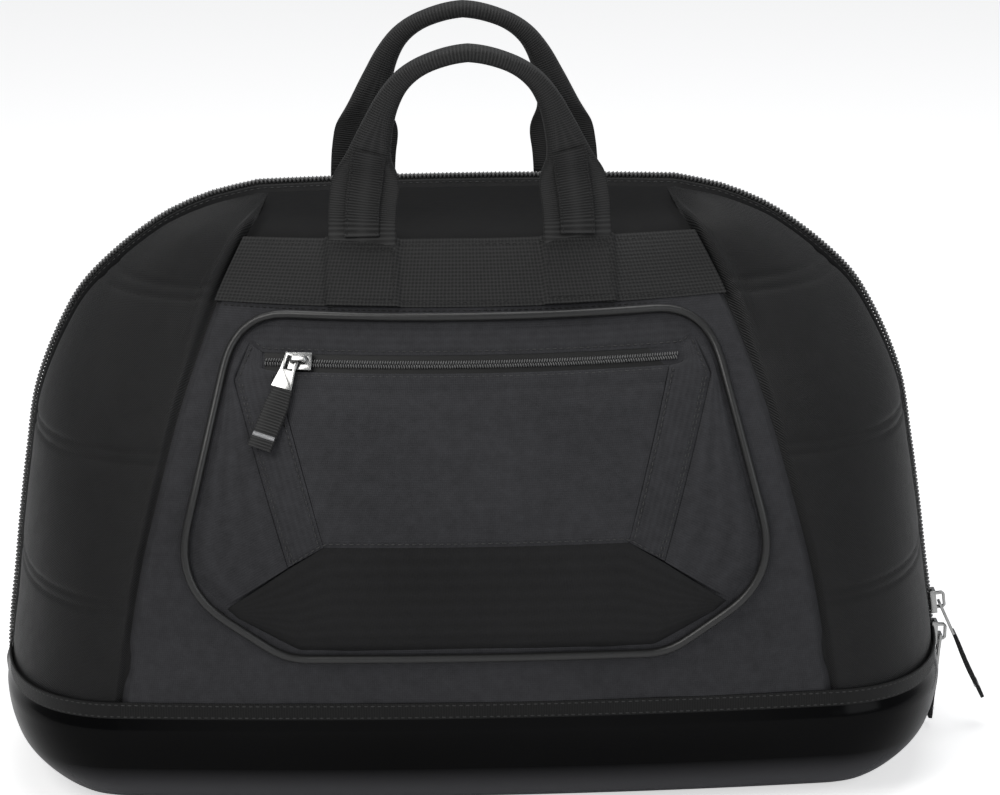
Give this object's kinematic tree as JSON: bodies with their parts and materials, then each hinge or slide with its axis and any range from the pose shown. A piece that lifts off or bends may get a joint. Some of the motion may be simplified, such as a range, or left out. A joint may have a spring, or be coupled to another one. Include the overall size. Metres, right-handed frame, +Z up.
{
  "type": "motorcycle helmet bag",
  "caption": "Padded zip-round carry bag for a motorcycle helmet, with a moulded boot, raised front pocket and a pair of webbing handles.",
  "frame": {"origin": "middle of the boot's flat underside, on the floor", "axes": "+Z up; -Y is the front with the pocket; +X is the viewer's right, where the closed zip's sliders hang"},
  "size_m": [0.5171, 0.2935, 0.3852],
  "materials": {
    "panel_fabric": "charcoal woven polyester",
    "yoke_fabric": "smooth black woven cloth",
    "side_fabric": "padded ballistic twill",
    "boot": "glossy black coated fabric",
    "binding": "grosgrain binding and covered cord",
    "webbing": "ribbed black webbing",
    "tape": "woven zip tape",
    "coil": "satin nylon coil",
    "nickel": "bright nickel plate"
  },
  "bodies": {
    "root": {"boot": "boot", "boot_binding_front": "binding", "boot_binding_back": "binding", "centre_panel_front": "panel_fabric", "centre_panel_back": "panel_fabric", "yoke_panel_front": "yoke_fabric", "yoke_panel_back": "yoke_fabric", "side_panel_right_front": "side_fabric", "side_panel_right_back": "side_fabric", "side_panel_left_front": "side_fabric", "side_panel_left_back": "side_fabric", "zip_gusset_front": "yoke_fabric", "zip_gusset_back": "yoke_fabric", "zip_tape_front": "tape", "zip_tape_back": "tape", "zip_coil": "coil", "webbing_band_front": "webbing", "webbing_band_back": "webbing", "handle_front": "webbing", "handle_back": "webbing", "pocket_top_strip": "panel_fabric", "pocket_flap": "panel_fabric", "pocket_facet": "yoke_fabric", "pocket_strip_left": "panel_fabric", "pocket_strip_right": "panel_fabric", "pocket_wing_left": "panel_fabric", "pocket_wing_right": "panel_fabric", "pocket_piping": "binding", "pocket_zip_tape": "tape", "pocket_zip_coil": "coil", "main_a_slider": "nickel", "main_b_slider": "nickel", "pocket_slider": "nickel"},
    "main_pull_a": {"main_a_tab": "nickel", "main_a_grip": "webbing"},
    "main_pull_b": {"main_b_tab": "nickel", "main_b_grip": "webbing"},
    "pocket_pull": {"pocket_tab": "nickel", "pocket_grip": "webbing"}
  },
  "joints": [
    {"name": "main_pull_a_swing", "type": "hinge", "parent": "root", "child": "main_pull_a", "pos_m": [0.24797, 0, 0.06765], "axis": [0, -1, 0], "range_deg": [0, 110]},
    {"name": "main_pull_b_swing", "type": "hinge", "parent": "root", "child": "main_pull_b", "pos_m": [0.24857, 0, 0.05012], "axis": [0, -1, 0], "range_deg": [0, 33]},
    {"name": "pocket_pull_swing", "type": "hinge", "parent": "root", "child": "pocket_pull", "pos_m": [-0.08986, -0.11026, 0.23272], "axis": [-0.1618, -0.8319, 0.5307], "range_deg": [-45, 50]}
  ]
}
